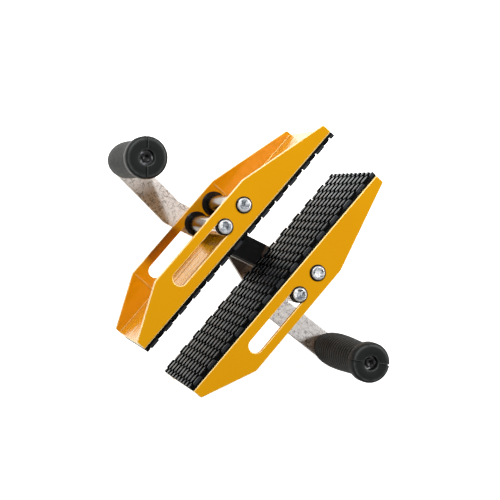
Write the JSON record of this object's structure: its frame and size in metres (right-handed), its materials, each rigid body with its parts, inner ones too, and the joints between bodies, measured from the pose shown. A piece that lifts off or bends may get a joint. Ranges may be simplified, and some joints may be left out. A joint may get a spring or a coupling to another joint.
{
  "type": "slab and plate carrying clamp",
  "caption": "Scissor-arm hand clamp: two parallel ribbed-rubber jaws close on the edge of a slab or plate when the side grips are pulled.",
  "frame": {"origin": "below the middle of the two jaws, level with the lowest pin end, the clamp lying on its back", "axes": "+X across the gap from the left jaw to the right jaw, +Y along the jaws towards the fixed pins (down when a slab is carried), +Z through the jaws' depth from the arms to the open front"},
  "size_m": [0.371, 0.3, 0.1853],
  "materials": {
    "yellow_powder_coat": "gloss powder coat",
    "black_rubber": "matt",
    "galvanised_steel": "galvanised, fine spangle",
    "black_nylon": "satin",
    "polished_steel": "polished",
    "moulded_grip": "satin",
    "black_oxide_steel": "black oxide",
    "zinc_pin": "zinc plated",
    "zinc_hardware": "zinc plated"
  },
  "bodies": {
    "left_jaw": {"left_jaw": "yellow_powder_coat", "left_pad": "black_rubber", "left_fixed_front_bush": "black_nylon", "left_fixed_rear_bush": "black_nylon"},
    "right_jaw": {"right_jaw": "yellow_powder_coat", "right_pad": "black_rubber", "right_fixed_front_bush": "black_nylon", "right_fixed_rear_bush": "black_nylon"},
    "right_arm": {"right_arm": "galvanised_steel", "left_fixed_pin": "zinc_pin", "right_slide_pin": "zinc_pin", "left_fixed_tube": "polished_steel", "right_slide_tube": "polished_steel", "left_fixed_spacer": "polished_steel", "right_slide_spacer": "polished_steel", "right_slide_front_bush": "black_nylon", "right_slide_rear_bush": "black_nylon", "right_arm_washers": "zinc_hardware", "right_arm_nuts": "zinc_hardware", "right_grip_post": "polished_steel", "right_grip_screw": "black_oxide_steel", "right_grip_washer": "zinc_hardware"},
    "left_arm": {"left_arm": "galvanised_steel", "right_fixed_pin": "zinc_pin", "left_slide_pin": "zinc_pin", "right_fixed_tube": "polished_steel", "left_slide_tube": "polished_steel", "right_fixed_spacer": "polished_steel", "left_slide_spacer": "polished_steel", "left_slide_front_bush": "black_nylon", "left_slide_rear_bush": "black_nylon", "left_arm_washers": "zinc_hardware", "left_arm_nuts": "zinc_hardware", "slab_stop": "black_rubber", "pivot_bolt": "zinc_pin", "pivot_thrust_washer": "black_nylon", "pivot_washer": "zinc_hardware", "pivot_nut": "zinc_hardware", "left_grip_post": "polished_steel", "left_grip_screw": "black_oxide_steel", "left_grip_washer": "zinc_hardware"},
    "left_grip": {"left_grip": "moulded_grip"},
    "right_grip": {"right_grip": "moulded_grip"}
  },
  "joints": [
    {"name": "closing", "type": "hinge", "parent": "left_jaw", "child": "right_arm", "pos_m": [-0.054, 0.0295, 0.015], "axis": [0, 0, -1], "range_deg": [0, 46]},
    {"name": "scissor", "type": "hinge", "parent": "right_arm", "child": "left_arm", "pos_m": [0, 0.0144, 0.02], "axis": [0, 0, -1], "range_deg": [-92, 0]},
    {"name": "jaw_parallel", "type": "hinge", "parent": "left_arm", "child": "right_jaw", "pos_m": [0.054, 0.0295, 0.024], "axis": [0, 0, -1], "range_deg": [0, 46]},
    {"name": "left_grip_spin", "type": "hinge", "parent": "left_arm", "child": "left_grip", "pos_m": [-0.1635, -0.0035, 0.1], "axis": [0, 0, 1], "continuous": true},
    {"name": "right_grip_spin", "type": "hinge", "parent": "right_arm", "child": "right_grip", "pos_m": [0.1635, -0.0035, 0.1], "axis": [0, 0, 1], "continuous": true}
  ],
  "couplings": [
    {"joint": "scissor", "follows": "closing", "ratio": -2},
    {"joint": "jaw_parallel", "follows": "closing", "ratio": 1}
  ]
}
